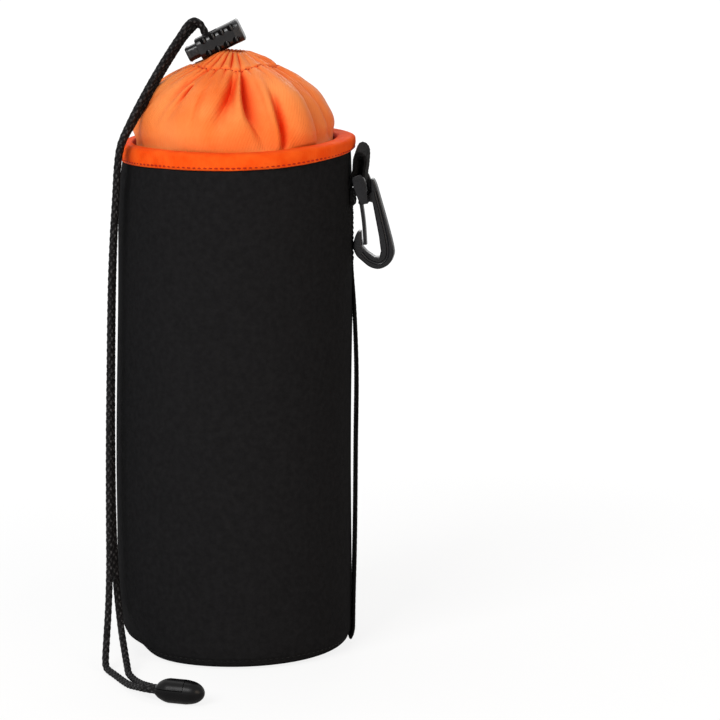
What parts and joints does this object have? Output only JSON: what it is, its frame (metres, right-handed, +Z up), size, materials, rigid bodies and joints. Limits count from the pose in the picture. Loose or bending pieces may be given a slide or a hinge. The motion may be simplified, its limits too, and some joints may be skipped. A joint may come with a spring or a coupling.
{
  "type": "lens pouch",
  "caption": "Padded round lens pouch with a gathered drawcord collar, cord lock, belt strap and a snap hook on a webbing tab.",
  "frame": {"origin": "centre of the flat underside of the base", "axes": "+Z up through the mouth, -Y towards the front where the cord end lies, +X towards the strap and the hook"},
  "size_m": [0.13, 0.1623, 0.2798],
  "materials": {
    "neoprene": "matt knit face on foam",
    "lining": "matt",
    "seam_tape": "matt",
    "binding": "ribbed tape",
    "satin": "light sheen",
    "cord": "braided",
    "webbing": "woven",
    "lock_plastic": "moulded",
    "steel": "drawn wire",
    "cord_end_plastic": "glossy",
    "hook_plastic": "satin"
  },
  "bodies": {
    "pouch": {"sleeve": "neoprene", "base_disc": "lining", "base_seam_tape": "seam_tape", "side_seam_tape": "seam_tape", "rim_binding": "binding", "collar": "satin", "drawcord_loop": "cord", "drawcord_strand_front": "cord", "drawcord_strand_rear": "cord", "cord_end_shell": "cord_end_plastic", "cord_end_lid": "cord_end_plastic", "belt_strap": "webbing", "hook_tab": "webbing"},
    "lock": {"cord_lock_barrel": "lock_plastic", "cord_lock_spring": "steel"},
    "plunger": {"cord_lock_plunger": "lock_plastic"},
    "hook": {"hook_frame": "hook_plastic"},
    "gate": {"hook_gate": "hook_plastic"}
  },
  "joints": [
    {"name": "lock_slide", "type": "slide", "parent": "pouch", "child": "lock", "axis": [-0.4368, 0, 0.8996], "range_m": [0, 0.01], "deforming": ["drawcord_strand_front", "drawcord_strand_rear"]},
    {"name": "plunger_press", "type": "slide", "parent": "lock", "child": "plunger", "axis": [0.8996, 0, 0.4368], "range_m": [0, 0.0035], "stiffness_N_per_m": 400, "springref_m": -0.001, "deforming": ["cord_lock_spring"]},
    {"name": "hook_swing", "type": "hinge", "parent": "pouch", "child": "hook", "pos_m": [0.05577, -0.00784, 0.2096], "axis": [-0.1392, -0.9903, 0], "range_deg": [0, 50], "deforming": ["hook_tab"]},
    {"name": "gate_open", "type": "hinge", "parent": "hook", "child": "gate", "pos_m": [0.05656, -0.00795, 0.19984], "axis": [-0.1392, -0.9903, 0], "range_deg": [0, 15], "stiffness_Nm_per_rad": 0.01, "springref_deg": -5.73}
  ]
}
